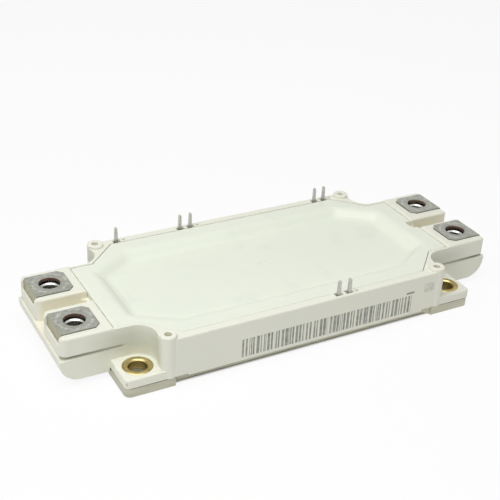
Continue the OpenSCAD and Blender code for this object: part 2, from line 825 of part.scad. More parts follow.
base_plate();
adhesive_bead();
housing_frame();
lid();
bushing_at(-1, -1);  // bushing_front_left
bushing_at(1, -1);  // bushing_front_right
bushing_at(-1, 1);  // bushing_rear_left
bushing_at(1, 1);  // bushing_rear_right
terminal_at(-1, -1);  // terminal_dc_front
terminal_at(-1, 1);  // terminal_dc_rear
terminal_at(1, -1);  // terminal_ac_front
terminal_at(1, 1);  // terminal_ac_rear
nut_at(-1, -1);  // nut_dc_front
nut_at(-1, 1);  // nut_dc_rear
nut_at(1, -1);  // nut_ac_front
nut_at(1, 1);  // nut_ac_rear
for (i = [0:6])
    control_pin(i);
for (i = [0:2])
    solder_layer(i);
for (i = [0:2])
    ceramic(i);
for (i = [0:2])
    circuit_copper(i);
for (i = [0:5])
    igbt_chip(i);
for (i = [0:5])
    diode_chip(i);
for (i = [0:2])
    bond_wires(i);
thermistor();
silicone_gel();
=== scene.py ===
import math
import bmesh
import bpy
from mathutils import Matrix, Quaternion, Vector


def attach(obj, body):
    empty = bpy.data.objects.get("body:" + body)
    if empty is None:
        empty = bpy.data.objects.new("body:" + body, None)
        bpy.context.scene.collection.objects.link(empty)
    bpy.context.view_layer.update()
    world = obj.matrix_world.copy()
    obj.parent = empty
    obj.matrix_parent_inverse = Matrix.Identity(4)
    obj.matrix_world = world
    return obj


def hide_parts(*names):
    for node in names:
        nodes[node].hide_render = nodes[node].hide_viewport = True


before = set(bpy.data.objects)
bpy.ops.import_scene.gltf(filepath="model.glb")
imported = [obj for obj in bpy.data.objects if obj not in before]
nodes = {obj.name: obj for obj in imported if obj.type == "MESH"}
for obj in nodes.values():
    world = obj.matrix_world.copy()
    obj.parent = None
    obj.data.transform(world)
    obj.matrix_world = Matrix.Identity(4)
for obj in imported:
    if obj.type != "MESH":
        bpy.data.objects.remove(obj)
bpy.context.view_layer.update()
mm = 0.001
print("frame loaded with", len(nodes), "CAD nodes")


def linearColour(hexColour):
    channels = [int(hexColour[i:i + 2], 16) / 255 for i in (1, 3, 5)]
    return [c / 12.92 if c <= 0.04045 else ((c + 0.055) / 1.055) ** 2.4 for c in channels] + [1]


def addNode(tree, kind, inputs=None, **settings):
    # inputs are sockets, hex colours or plain values, by the name or place of the input
    node = tree.nodes.new(kind)
    for name, value in settings.items():
        setattr(node, name, value)
    for key, value in (inputs or {}).items():
        if isinstance(value, bpy.types.NodeSocket):
            tree.links.new(value, node.inputs[key])
        else:
            node.inputs[key].default_value = linearColour(value) if isinstance(value, str) else value
    return node


def startMaterial(name):
    # the material, its node tree, its shader and the place on the object
    material = bpy.data.materials.new(name)
    material.use_nodes = True
    tree = material.node_tree
    place = addNode(tree, "ShaderNodeTexCoord").outputs["Object"]
    return material, tree, tree.nodes["Principled BSDF"], place


def insideBox(tree, place, low, high, soft=0.01):
    # 1 inside a box given in millimetres, fading to 0 at its faces over the soft distance
    centre = [(a + b) / 2 * mm for a, b in zip(low, high)]
    half = [(b - a) / 2 * mm for a, b in zip(low, high)]
    offset = addNode(tree, "ShaderNodeVectorMath", {0: place, 1: centre}, operation="SUBTRACT")
    away = addNode(tree, "ShaderNodeVectorMath", {0: offset.outputs[0]}, operation="ABSOLUTE")
    room = addNode(tree, "ShaderNodeVectorMath", {0: half, 1: away.outputs[0]}, operation="SUBTRACT")
    axes = addNode(tree, "ShaderNodeSeparateXYZ", {0: room.outputs[0]}).outputs
    least = addNode(tree, "ShaderNodeMath", {0: axes[0], 1: axes[1]}, operation="MINIMUM")
    least = addNode(tree, "ShaderNodeMath", {0: least.outputs[0], 1: axes[2]}, operation="MINIMUM")
    fade = addNode(tree, "ShaderNodeMapRange", {"Value": least.outputs[0], "From Max": soft * mm})
    return fade.outputs[0]


def randomMarks(tree, place, pitch, share):
    # cells of the given pitch in millimetres, each marked or bare by chance
    scale = [1 / (p * mm) if p else 0 for p in pitch]
    cells = addNode(tree, "ShaderNodeVectorMath", {0: place, 1: scale}, operation="MULTIPLY")
    cells = addNode(tree, "ShaderNodeVectorMath", {0: cells.outputs[0]}, operation="FLOOR")
    chance = addNode(tree, "ShaderNodeTexWhiteNoise", {"Vector": cells.outputs[0]}).outputs[0]
    return addNode(tree, "ShaderNodeMath", {0: chance, 1: share}, operation="LESS_THAN").outputs[0]


def uprightBars(tree, place, pitch, shares):
    # one upright bar to each pitch in millimetres along X, its width by chance between
    # the two shares of the pitch
    along = addNode(tree, "ShaderNodeSeparateXYZ", {0: place}).outputs[0]
    along = addNode(tree, "ShaderNodeMath", {
        0: along, 1: 1 / (pitch * mm),
    }, operation="MULTIPLY").outputs[0]
    cell = addNode(tree, "ShaderNodeMath", {0: along}, operation="FLOOR").outputs[0]
    part = addNode(tree, "ShaderNodeMath", {0: along}, operation="FRACT").outputs[0]
    chance = addNode(tree, "ShaderNodeTexWhiteNoise", {"W": cell}, noise_dimensions="1D").outputs[0]
    width = addNode(tree, "ShaderNodeMapRange", {
        "Value": chance, "To Min": shares[0], "To Max": shares[1],
    }).outputs[0]
    return addNode(tree, "ShaderNodeMath", {0: part, 1: width}, operation="LESS_THAN").outputs[0]


def fromUpright(tree, place, centre):
    # distance in metres from an upright axis, the same at the four corners of the module
    corners = addNode(tree, "ShaderNodeVectorMath", {0: place}, operation="ABSOLUTE").outputs[0]
    away = addNode(tree, "ShaderNodeVectorMath", {
        0: corners, 1: (centre[0] * mm, centre[1] * mm, 0),
    }, operation="SUBTRACT").outputs[0]
    level = addNode(tree, "ShaderNodeVectorMath", {
        0: away, 1: (1, 1, 0),
    }, operation="MULTIPLY").outputs[0]
    return addNode(tree, "ShaderNodeVectorMath", {0: level}, operation="LENGTH").outputs["Value"]


def sideways(tree):
    # 1 on upright faces, 0 on level ones, with a fade over the rounded edges between
    facing = addNode(tree, "ShaderNodeTexCoord").outputs["Normal"]
    facing = addNode(tree, "ShaderNodeSeparateXYZ", {0: facing}).outputs[2]
    facing = addNode(tree, "ShaderNodeMath", {0: facing}, operation="ABSOLUTE").outputs[0]
    return addNode(tree, "ShaderNodeMapRange", {
        "Value": facing, "From Min": 0.75, "From Max": 0.35,
    }).outputs[0]


plastic = {                 # sizes in millimetres
    "frame": "#E9ECDF",
    "frameWarm": "#ECEADA",
    "lid": "#E6ECDD",
    "lidWarm": "#EAEEDF",
    "cloud": 30,                # size of the patches of warmer tone
    "grain": 0.4,               # of the eroded mould; drawn coarser than the real 0.05 to show
    "grainDepth": 0.02,
    "roughness": (0.36, 0.5),
    "smudge": "#D9E0D0",        # faint marks of handling on the lid
    "smudgeSize": 9,
    "smudgeShare": 0.35,
    "gapPaintedLight": "#F1EDDA",       # painted light between the terminals: their gaps drawn paler and a little yellower
    "gap": ((59.4, -3.6, 8), (80, 3.7, 16.3)),
    "gapSoft": 0.4,
    "gapShare": 0.85,
    "reliefPaintedShade": "#D6D9CA",        # painted shade on the sheltered walls behind the bushings
    "reliefPlace": (55.0, 25.0),
    "reliefR": 7.5,             # dulled in full up to here, and not at all at twice that
    "reliefWalls": ((40, 0, 5.9), (80, 30.6, 17)),
    "reliefSoft": 4,
    "bossBorePaintedLight": "#F4F3E2",      # painted light inside the bosses, paler than the plastic around
    "bossPlace": (47.25, 28.75),
    "bossBoreR": 1.35,
    "paintedHollowShade": "#A8A692",          # painted shade in the groove of the terminal blocks, and in the dimple
    "groove": ((54, 17, 9.42), (77, 19.12, 10.5)),
    "grooveSoft": 0.08,
    "grooveShare": 0.8,
    "gate": (-61.1, -31.0, 4.6),    # the dimple where a foot was filled
    "gateR": 1.0,
    "gateCore": 0.5,
}


def mouldedPolyester(name, colour, warm):
    # glass-filled polyester, injection moulded: off-white and satin, with a fine even
    # skin and slow changes of tone where the melt has flowed
    material, tree, shader, place = startMaterial(name)
    cloud = addNode(tree, "ShaderNodeTexNoise", {
        "Vector": place, "Scale": 1 / (plastic["cloud"] * mm), "Detail": 2,
    }).outputs["Fac"]
    tone = addNode(tree, "ShaderNodeMix", {0: cloud, 6: colour, 7: warm}, data_type="RGBA").outputs[2]
    grain = addNode(tree, "ShaderNodeTexNoise", {
        "Vector": place, "Scale": 1 / (plastic["grain"] * mm), "Detail": 3,
    }).outputs["Fac"]
    smoothest, roughest = plastic["roughness"]
    gloss = addNode(tree, "ShaderNodeMapRange", {
        "Value": grain, "To Min": smoothest, "To Max": roughest,
    })
    bump = addNode(tree, "ShaderNodeBump", {
        "Height": grain, "Strength": 0.1, "Distance": plastic["grainDepth"] * mm,
    })
    tree.links.new(gloss.outputs[0], shader.inputs["Roughness"])
    tree.links.new(bump.outputs[0], shader.inputs["Normal"])
    return material, tree, shader, place, tone


marking = {                 # laser marking on the front wall, in millimetres; it says nothing
    "ink": "#6F7269",
    "bars": ((-24.7, -31.1, 3.7), (37.0, -30.9, 9.9)),
    "barPitch": 1.22,
    "barShares": (0.45, 0.9),
    "splitPitch": 1.6714,       # thin bare lines that part some of the bars
    "splitShares": (0.08, 0.22),
    "dash": ((34.6, -31.1, 10.5), (37.6, -30.9, 11.2)),
    "dots": ((41.4, -31.1, 9.7), (45.3, -30.9, 12.9)),
    "dotPitch": 0.3,
    "dotShare": 0.5,
    "dotStrength": 0.45,
    "fadeSize": 1.5,            # patches where the marking is weaker
    "fade": (0.6, 0.9),
}


def laserMarking(tree, place):
    # bars of random widths, a dash and a faint patch of random dots
    row = insideBox(tree, place, *marking["bars"])
    bars = uprightBars(tree, place, marking["barPitch"], marking["barShares"])
    bars = addNode(tree, "ShaderNodeMath", {0: bars, 1: row}, operation="MULTIPLY").outputs[0]
    split = uprightBars(tree, place, marking["splitPitch"], marking["splitShares"])
    split = addNode(tree, "ShaderNodeMath", {0: 1, 1: split}, operation="SUBTRACT").outputs[0]
    bars = addNode(tree, "ShaderNodeMath", {0: bars, 1: split}, operation="MULTIPLY").outputs[0]
    dash = insideBox(tree, place, *marking["dash"])
    patch = insideBox(tree, place, *marking["dots"])
    dotPitch = marking["dotPitch"]
    dots = randomMarks(tree, place, (dotPitch, 0, dotPitch), marking["dotShare"])
    patch = addNode(tree, "ShaderNodeMath", {0: patch, 1: dots}, operation="MULTIPLY").outputs[0]
    patch = addNode(tree, "ShaderNodeMath", {
        0: patch, 1: marking["dotStrength"],
    }, operation="MULTIPLY").outputs[0]
    ink = addNode(tree, "ShaderNodeMath", {0: bars, 1: dash}, operation="MAXIMUM").outputs[0]
    ink = addNode(tree, "ShaderNodeMath", {0: ink, 1: patch}, operation="MAXIMUM").outputs[0]
    uneven = addNode(tree, "ShaderNodeTexNoise", {
        "Vector": place, "Scale": 1 / (marking["fadeSize"] * mm), "Detail": 2,
    }).outputs["Fac"]
    weakest, strongest = marking["fade"]
    strength = addNode(tree, "ShaderNodeMapRange", {
        "Value": uneven, "From Min": 0.3, "From Max": 0.7, "To Min": weakest, "To Max": strongest,
    }).outputs[0]
    return addNode(tree, "ShaderNodeMath", {0: ink, 1: strength}, operation="MULTIPLY").outputs[0]


def makeHousingPlastic():
    material, tree, shader, place, tone = mouldedPolyester(
        "polyesterMouldedFrame", plastic["frame"], plastic["frameWarm"])
    bothEnds = addNode(tree, "ShaderNodeVectorMath", {0: place}, operation="ABSOLUTE").outputs[0]
    # painted light on the walls of the gaps between the terminals, paler and warmer than the plastic
    inGap = insideBox(tree, bothEnds, *plastic["gap"], soft=plastic["gapSoft"])
    share = addNode(tree, "ShaderNodeMath", {
        0: inGap, 1: plastic["gapShare"],
    }, operation="MULTIPLY").outputs[0]
    tone = addNode(tree, "ShaderNodeMix", {
        0: share, 6: tone, 7: plastic["gapPaintedLight"],
    }, data_type="RGBA").outputs[2]
    # painted shade on the upright walls sheltered behind the bushings, strongest near them
    fromBushing = fromUpright(tree, place, plastic["reliefPlace"])
    inRelief = addNode(tree, "ShaderNodeMapRange", {
        "Value": fromBushing,
        "From Min": 2 * plastic["reliefR"] * mm, "From Max": plastic["reliefR"] * mm,
    }).outputs[0]
    share = addNode(tree, "ShaderNodeMath", {
        0: inRelief, 1: sideways(tree),
    }, operation="MULTIPLY").outputs[0]
    walls = insideBox(tree, bothEnds, *plastic["reliefWalls"], soft=plastic["reliefSoft"])
    share = addNode(tree, "ShaderNodeMath", {0: share, 1: walls}, operation="MULTIPLY").outputs[0]
    tone = addNode(tree, "ShaderNodeMix", {
        0: share, 6: tone, 7: plastic["reliefPaintedShade"],
    }, data_type="RGBA").outputs[2]
    # painted light in the bores of the bosses, where shade falls
    fromBoss = fromUpright(tree, place, plastic["bossPlace"])
    inBore = addNode(tree, "ShaderNodeMath", {
        0: fromBoss, 1: plastic["bossBoreR"] * mm,
    }, operation="LESS_THAN").outputs[0]
    tone = addNode(tree, "ShaderNodeMix", {
        0: inBore, 6: tone, 7: plastic["bossBorePaintedLight"],
    }, data_type="RGBA").outputs[2]
    # painted shade in the groove between the halves of each terminal block
    inGroove = insideBox(tree, bothEnds, *plastic["groove"], soft=plastic["grooveSoft"])
    share = addNode(tree, "ShaderNodeMath", {
        0: inGroove, 1: plastic["grooveShare"],
    }, operation="MULTIPLY").outputs[0]
    tone = addNode(tree, "ShaderNodeMix", {
        0: share, 6: tone, 7: plastic["paintedHollowShade"],
    }, data_type="RGBA").outputs[2]
    tone = addNode(tree, "ShaderNodeMix", {
        0: laserMarking(tree, place), 6: tone, 7: marking["ink"],
    }, data_type="RGBA").outputs[2]
    # painted shade in the gate dimple, darkest at its core
    fromGate = addNode(tree, "ShaderNodeVectorMath", {
        0: place, 1: [c * mm for c in plastic["gate"]],
    }, operation="DISTANCE").outputs["Value"]
    dimple = addNode(tree, "ShaderNodeMapRange", {
        "Value": fromGate,
        "From Min": plastic["gateR"] * mm, "From Max": plastic["gateCore"] * mm, "To Max": 1,
    }).outputs[0]
    tone = addNode(tree, "ShaderNodeMix", {
        0: dimple, 6: tone, 7: plastic["paintedHollowShade"],
    }, data_type="RGBA").outputs[2]
    tree.links.new(tone, shader.inputs["Base Color"])
    return material


def makeLidPlastic():
    material, tree, shader, place, tone = mouldedPolyester(
        "polyesterMouldedLid", plastic["lid"], plastic["lidWarm"])
    smudge = addNode(tree, "ShaderNodeTexNoise", {
        "Vector": place, "Scale": 1 / (plastic["smudgeSize"] * mm), "Detail": 4,
    }).outputs["Fac"]
    share = addNode(tree, "ShaderNodeMapRange", {
        "Value": smudge, "From Min": 0.55, "From Max": 0.75, "To Max": plastic["smudgeShare"],
    }).outputs[0]
    tone = addNode(tree, "ShaderNodeMix", {
        0: share, 6: tone, 7: plastic["smudge"],
    }, data_type="RGBA").outputs[2]
    tree.links.new(tone, shader.inputs["Base Color"])
    return material


strap = {                   # sizes in millimetres
    "plate": "#9A9C93",
    "dark": "#7C7E75",
    "light": "#C2C4BA",
    "plateShare": 0.7,          # how far the even plating covers the light and dark mottle
    "mottle": 1.1,
    "mottleDepth": 0.05,
    "roughness": (0.32, 0.58),
    "metallic": 0.85,
    "hole": (68.5, 11.0),
    "cut": "#8F7063",           # copper bared by the punch, in the hole
    "cutR": 3.9,
    "sheared": "#77776E",       # the long edges, smeared with plating by the shear
    "edgeShare": 0.9,
    "leg": "#A8A58E",           # the bent-down outer end: a painted reflection of the beige plastic round it
    "legBox": ((74.4, 0, 0), (77, 30, 16.9)),
    "legSoft": 0.15,
    "washer": 5.2,
    "washerWidth": 0.4,
    "washerShare": 0.8,
    "scratchTurn": 25,          # degrees from the module's length
    "scratchLength": 5,
    "scratchWidth": 0.2,        # drawn coarser than the real 0.05 to show
}


def makeStrapMetal():
    # nickel-plated copper, punched and bent: dull grey and mottled, scratched by screws,
    # with the ring that a washer rubbed bright and brown copper on the cut edges
    material, tree, shader, place = startMaterial("copperNickelPlatedPunched")
    mottle = addNode(tree, "ShaderNodeTexNoise", {
        "Vector": place, "Scale": 1 / (strap["mottle"] * mm), "Detail": 5,
    }).outputs["Fac"]
    spread = addNode(tree, "ShaderNodeMapRange", {
        "Value": mottle, "From Min": 0.35, "From Max": 0.65,
    }).outputs[0]
    worn = addNode(tree, "ShaderNodeMix", {
        0: spread, 6: strap["dark"], 7: strap["light"],
    }, data_type="RGBA").outputs[2]
    tone = addNode(tree, "ShaderNodeMix", {
        0: strap["plateShare"], 6: worn, 7: strap["plate"],
    }, data_type="RGBA").outputs[2]
    radius = fromUpright(tree, place, strap["hole"])
    rubbed = addNode(tree, "ShaderNodeMath", {
        0: radius, 1: strap["washer"] * mm, 2: strap["washerWidth"] * mm,
    }, operation="COMPARE").outputs[0]
    rubbed = addNode(tree, "ShaderNodeMath", {0: rubbed, 1: spread}, operation="MULTIPLY").outputs[0]
    rubbed = addNode(tree, "ShaderNodeMath", {
        0: rubbed, 1: strap["washerShare"],
    }, operation="MULTIPLY").outputs[0]
    tone = addNode(tree, "ShaderNodeMix", {
        0: rubbed, 6: tone, 7: strap["light"],
    }, data_type="RGBA").outputs[2]
    lengthwise, across = 1 / (strap["scratchLength"] * mm), 1 / (strap["scratchWidth"] * mm)
    turned = addNode(tree, "ShaderNodeMapping", {
        "Vector": place, "Rotation": (0, 0, math.radians(strap["scratchTurn"])),
        "Scale": (lengthwise, across, lengthwise),
    }).outputs[0]
    hair = addNode(tree, "ShaderNodeTexNoise", {
        "Vector": turned, "Scale": 1, "Detail": 2,
    }).outputs["Fac"]
    scratch = addNode(tree, "ShaderNodeMapRange", {
        "Value": hair, "From Min": 0.6, "From Max": 0.7, "To Max": 0.5,
    }).outputs[0]
    tone = addNode(tree, "ShaderNodeMix", {
        0: scratch, 6: tone, 7: strap["dark"],
    }, data_type="RGBA").outputs[2]
    edge = addNode(tree, "ShaderNodeMath", {
        0: sideways(tree), 1: strap["edgeShare"],
    }, operation="MULTIPLY").outputs[0]
    inHole = addNode(tree, "ShaderNodeMath", {
        0: radius, 1: strap["cutR"] * mm,
    }, operation="LESS_THAN").outputs[0]
    bare = addNode(tree, "ShaderNodeMix", {
        0: inHole, 6: strap["sheared"], 7: strap["cut"],
    }, data_type="RGBA").outputs[2]
    tone = addNode(tree, "ShaderNodeMix", {0: edge, 6: tone, 7: bare}, data_type="RGBA").outputs[2]
    bothEnds = addNode(tree, "ShaderNodeVectorMath", {0: place}, operation="ABSOLUTE").outputs[0]
    # painted reflection of the beige plastic on the bent-down outer ends
    onLeg = insideBox(tree, bothEnds, *strap["legBox"], soft=strap["legSoft"])
    tone = addNode(tree, "ShaderNodeMix", {
        0: onLeg, 6: tone, 7: strap["leg"],
    }, data_type="RGBA").outputs[2]
    smoothest, roughest = strap["roughness"]
    rough = addNode(tree, "ShaderNodeMapRange", {
        "Value": mottle, "To Min": smoothest, "To Max": roughest,
    })
    dents = addNode(tree, "ShaderNodeMath", {0: mottle, 1: scratch}, operation="SUBTRACT")
    bump = addNode(tree, "ShaderNodeBump", {
        "Height": dents.outputs[0], "Strength": 0.25, "Distance": strap["mottleDepth"] * mm,
    })
    tree.links.new(tone, shader.inputs["Base Color"])
    tree.links.new(rough.outputs[0], shader.inputs["Roughness"])
    tree.links.new(bump.outputs[0], shader.inputs["Normal"])
    shader.inputs["Metallic"].default_value = strap["metallic"]
    return material


bushing = {                 # sizes in millimetres
    "light": "#E0CE94",
    "dark": "#B09A62",
    "rim": "#7D6E46",           # tarnish along the outer edge
    "rimR": 4.25,
    "rimFade": 0.3,
    "rimShare": 0.5,
    "axis": (55.0, 25.0),
    "ringPitch": 0.25,          # left by the lathe; drawn coarser than the real 0.1 to show
    "ringDepth": 0.02,
    "tarnishSize": 2,
    "roughness": (0.22, 0.42),
}


def makeTurnedBrass():
    # brass turned on a lathe: yellow and bright, with fine rings round its axis, and
    # darker where it has tarnished
    material, tree, shader, place = startMaterial("brassTurned")
    radius = fromUpright(tree, place, bushing["axis"])
    height = addNode(tree, "ShaderNodeSeparateXYZ", {0: place}).outputs[2]
    rings = addNode(tree, "ShaderNodeCombineXYZ", {0: radius, 1: height}).outputs[0]
    rings = addNode(tree, "ShaderNodeTexNoise", {
        "Vector": rings, "Scale": 1 / (bushing["ringPitch"] * mm), "Detail": 2,
    }).outputs["Fac"]
    tarnish = addNode(tree, "ShaderNodeTexNoise", {
        "Vector": place, "Scale": 1 / (bushing["tarnishSize"] * mm), "Detail": 3,
    }).outputs["Fac"]
    mixed = addNode(tree, "ShaderNodeMath", {0: rings, 1: tarnish}, operation="ADD").outputs[0]
    spread = addNode(tree, "ShaderNodeMapRange", {
        "Value": mixed, "From Min": 0.7, "From Max": 1.3,
    }).outputs[0]
    tone = addNode(tree, "ShaderNodeMix", {
        0: spread, 6: bushing["dark"], 7: bushing["light"],
    }, data_type="RGBA").outputs[2]
    rim = addNode(tree, "ShaderNodeMapRange", {
        "Value": radius, "To Max": bushing["rimShare"],
        "From Min": bushing["rimR"] * mm, "From Max": (bushing["rimR"] + bushing["rimFade"]) * mm,
    }).outputs[0]
    tone = addNode(tree, "ShaderNodeMix", {
        0: rim, 6: tone, 7: bushing["rim"],
    }, data_type="RGBA").outputs[2]
    smoothest, roughest = bushing["roughness"]
    rough = addNode(tree, "ShaderNodeMapRange", {
        "Value": rings, "To Min": smoothest, "To Max": roughest,
    })
    bump = addNode(tree, "ShaderNodeBump", {
        "Height": rings, "Strength": 0.3, "Distance": bushing["ringDepth"] * mm,
    })
    tree.links.new(tone, shader.inputs["Base Color"])
    tree.links.new(rough.outputs[0], shader.inputs["Roughness"])
    tree.links.new(bump.outputs[0], shader.inputs["Normal"])
    shader.inputs["Metallic"].default_value = 1
    return material


def mottledFinish(name, light, dark, roughness, grain, metallic=1, stretch=(1, 1, 1)):
    # a finish with a fine mottle of the given grain in millimetres, drawn out by the stretch
    material, tree, shader, place = startMaterial(name)
    scale = [1 / (grain * mm * factor) for factor in stretch]
    drawn = addNode(tree, "ShaderNodeMapping", {"Vector": place, "Scale": scale}).outputs[0]
    mottle = addNode(tree, "ShaderNodeTexNoise", {
        "Vector": drawn, "Scale": 1, "Detail": 3,
    }).outputs["Fac"]
    spread = addNode(tree, "ShaderNodeMapRange", {
        "Value": mottle, "From Min": 0.3, "From Max": 0.7,
    }).outputs[0]
    tone = addNode(tree, "ShaderNodeMix", {0: spread, 6: dark, 7: light}, data_type="RGBA").outputs[2]
    rough = addNode(tree, "ShaderNodeMapRange", {
        "Value": mottle, "To Min": roughness - 0.08, "To Max": roughness + 0.08,
    })
    bump = addNode(tree, "ShaderNodeBump", {"Height": mottle, "Strength": 0.15, "Distance": 0.02 * mm})
    tree.links.new(tone, shader.inputs["Base Color"])
    tree.links.new(rough.outputs[0], shader.inputs["Roughness"])
    tree.links.new(bump.outputs[0], shader.inputs["Normal"])
    shader.inputs["Metallic"].default_value = metallic
    return material


# by the start of the names of the CAD nodes: light and dark colour, roughness, and grain in
# millimetres, which is drawn coarser than the real one where that is too fine to show
finishes = {
    "housing_frame": makeHousingPlastic(),
    "lid": makeLidPlastic(),
    "terminal": makeStrapMetal(),
    "bushing": makeTurnedBrass(),
    # zinc-plated steel: bright and nearly neutral grey
    "nut": mottledFinish("steelZincPlated", "#DADAD6", "#B4B5B2", 0.25, 0.7),
    # tin-plated copper, stamped: pale grey with a warm cast
    "control_pin": mottledFinish("copperTinPlatedStamped", "#D2D0CC", "#AEABA6", 0.4, 0.4),
    # nickel-plated copper plate: yellowish grey, streaked along its milled sides
    "base_plate": mottledFinish(
        "copperNickelPlatedMilled", "#C5C4B0", "#A6A593", 0.42, 0.5, 0.9, stretch=(16, 16, 0.5)),
    # silicone adhesive, dispensed: matt grey-white
    "adhesive_bead": mottledFinish("siliconeAdhesiveDispensed", "#C9CAC0", "#B5B6AC", 0.6, 1.0, 0),
    # solder, reflowed: dull grey with a frosted grain
    "solder_layer": mottledFinish("solderReflowed", "#B0B1B3", "#8C8D90", 0.5, 0.8),
    # alumina, sintered: chalky white
    "ceramic": mottledFinish("aluminaSintered", "#F2F1EB", "#E4E3DC", 0.55, 0.3, 0),
    # copper foil, etched: matt salmon
    "circuit_copper": mottledFinish("copperEtched", "#CE9672", "#AF7453", 0.4, 0.8),
    # silicon dies under a metal skin: smooth, cool mid grey
    "igbt_chip": mottledFinish("siliconMetallised", "#9DA0A8", "#7E8089", 0.25, 0.8),
    "diode_chip": mottledFinish("siliconMetallisedPale", "#ABADB3", "#8D8F96", 0.25, 0.8),
    # aluminium wire, drawn: pale and satin
    "bond_wires": mottledFinish("aluminiumDrawn", "#DCDCDE", "#BEBEC1", 0.35, 0.25),
    # thermistor ceramic, pressed: nearly black
    "thermistor": mottledFinish("thermistorCeramicPressed", "#303033", "#1D1D1F", 0.5, 0.3, 0),
    # silicone gel, cast: pale with a bluish cast, drawn opaque because the lid hides it
    "silicone_gel": mottledFinish("siliconeGelCast", "#D5E0E3", "#C3D1D5", 0.18, 4.0, 0),
}

for nodeName, node in nodes.items():
    stem = next(stem for stem in finishes if nodeName.startswith(stem))
    node.data.materials.clear()
    node.data.materials.append(finishes[stem])
print(len(finishes), "finishes on", len(nodes), "CAD nodes")


rounding = {                # angles in degrees
    "flat": 1,                  # faces this near to one plane are joined
    "ridge": 28,                # outward edges that turn more than this are rounded
    "hollow": 20,               # and inward ones, where concave is set
    "smooth": 35,
}


def takeCopy(nodeName, pieceName, merge=0.001):
    # the CAD mesh with its triangles joined again into whole faces
    bpy.ops.object.select_all(action="DESELECT")
    piece = bpy.data.objects.new(pieceName, nodes[nodeName].data.copy())
    bpy.context.scene.collection.objects.link(piece)
    piece.select_set(True)
    bpy.context.view_layer.objects.active = piece
    bpy.ops.object.mode_set(mode="EDIT")
    bpy.ops.mesh.select_all(action="SELECT")
    bpy.ops.mesh.remove_doubles(threshold=merge * mm)
    bpy.ops.mesh.dissolve_limited(angle_limit=math.radians(rounding["flat"]))
    bpy.ops.mesh.customdata_custom_splitnormals_clear()
    bpy.ops.object.mode_set(mode="OBJECT")
    return piece


def roundEdges(piece, radiusAt, segments=3, concave=False):
    # radiusAt(middle of the edge in mm, normals of its faces) is the radius in mm, or 0
    shape = bmesh.new()
    shape.from_mesh(piece.data)
    weights = shape.edges.layers.float.get("bevel_weight_edge")
    weights = weights or shape.edges.layers.float.new("bevel_weight_edge")
    ridge, hollow = math.radians(rounding["ridge"]), math.radians(rounding["hollow"])
    radii = {}
    for edge in shape.edges:
        edge[weights] = 0
        if len(edge.link_faces) != 2:
            continue
        turn = edge.calc_face_angle_signed()
        if turn > ridge or (concave and turn < -hollow):
            middle = (edge.verts[0].co + edge.verts[1].co) / 2 / mm
            radii[edge] = radiusAt(middle, [face.normal for face in edge.link_faces])
    widest = max(radii.values())
    for edge, radius in radii.items():
        edge[weights] = radius / widest
    shape.to_mesh(piece.data)
    shape.free()
    bevel = piece.modifiers.new("rounding", "BEVEL")
    bevel.limit_method = "WEIGHT"
    bevel.width = widest * mm
    bevel.segments = segments
    bevel.use_clamp_overlap = False
    bpy.ops.object.modifier_apply(modifier=bevel.name)
    # large flat faces of many corners are cut into triangles, so that they shade evenly
    bpy.ops.object.mode_set(mode="EDIT")
    bpy.ops.mesh.select_mode(type="FACE")
    bpy.ops.mesh.select_all(action="DESELECT")
    bpy.ops.mesh.select_face_by_sides(number=4, type="GREATER")
    bpy.ops.mesh.quads_convert_to_tris(ngon_method="BEAUTY")
    bpy.ops.object.mode_set(mode="OBJECT")


def finishPiece(piece, nodeName):
    bpy.ops.object.shade_smooth_by_angle(angle=math.radians(rounding["smooth"]))
    flat = piece.modifiers.new("flatFaces", "WEIGHTED_NORMAL")
    flat.keep_sharp = True
    bpy.ops.object.modifier_apply(modifier=flat.name)
    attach(piece, "root")
    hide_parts(nodeName)


housingEdges = {            # radii, heights and places in millimetres
    "rim": 0.6,
    "end": 0.5,             # edges below the seat and past the base plate
    "upright": 0.4,
    "foot": 0.5,
    "boss": 0.35,
    "bossHole": 0.2,
    "pocket": 0.25,
    "rimTop": 16.0,
    "bossTop": 17.0,
    "footTop": 6.0,
    "level": 0.1,           # an edge this near to a height lies on it
    "seat": 3.3,            # below it the frame stands on the base plate
    "plateEnd": 61.0,
    "pastPlate": 61.5,
    "lidEnd": 59.6,
    "wallInside": 30.9,     # the rim's inner edge and the slots in it stay crisp
    "bossPlace": (47.25, 28.75),
    "bossHoleR": 1.5,
    "holePlace": (55.0, 25.0),
    "holeR": 5.2,           # the seat of the bushing stays crisp
    "groove": (9.0, 9.5),   # and so does the groove between the halves of a block
    "blockTops": 11.0,      # edges of the blocks above it are rounded as little as the pockets
    "strapRow": 11.0,
    "strapHalf": 6.6,       # the pockets that hold the straps stay crisp
}


def housingRadius(middle, normals):
    s = housingEdges
    x, y = abs(middle.x), abs(middle.y)
    if middle.z < s["seat"]:
        return s["end"] if x > s["pastPlate"] else 0
    fromBoss = math.hypot(x - s["bossPlace"][0], y - s["bossPlace"][1])
    if middle.z > s["bossTop"] - s["level"]:
        return s["bossHole"] if fromBoss < s["bossHoleR"] else s["boss"]
    if fromBoss < s["bossHoleR"]:
        return 0
    if x < s["lidEnd"] and y < s["wallInside"]:
        return 0
    if x > s["plateEnd"] and abs(y - s["strapRow"]) < s["strapHalf"]:
        return 0
    if middle.z > s["rimTop"] - s["level"]:
        return s["pocket"] if x > s["lidEnd"] else s["rim"]
    if abs(middle.z - s["footTop"]) < s["level"]:
        fromHole = math.hypot(x - s["holePlace"][0], y - s["holePlace"][1])
        return 0 if fromHole < s["holeR"] else s["foot"]
    if x > s["plateEnd"] and s["groove"][0] < middle.z < s["groove"][1]:
        return 0
    if x > s["plateEnd"] and middle.z > s["blockTops"]:
        return s["pocket"]
    return s["upright"]


housing = takeCopy("housing_frame", "housingMoulding")
roundEdges(housing, housingRadius)
finishPiece(housing, "housing_frame")
print("housing", len(housing.data.polygons), "faces")


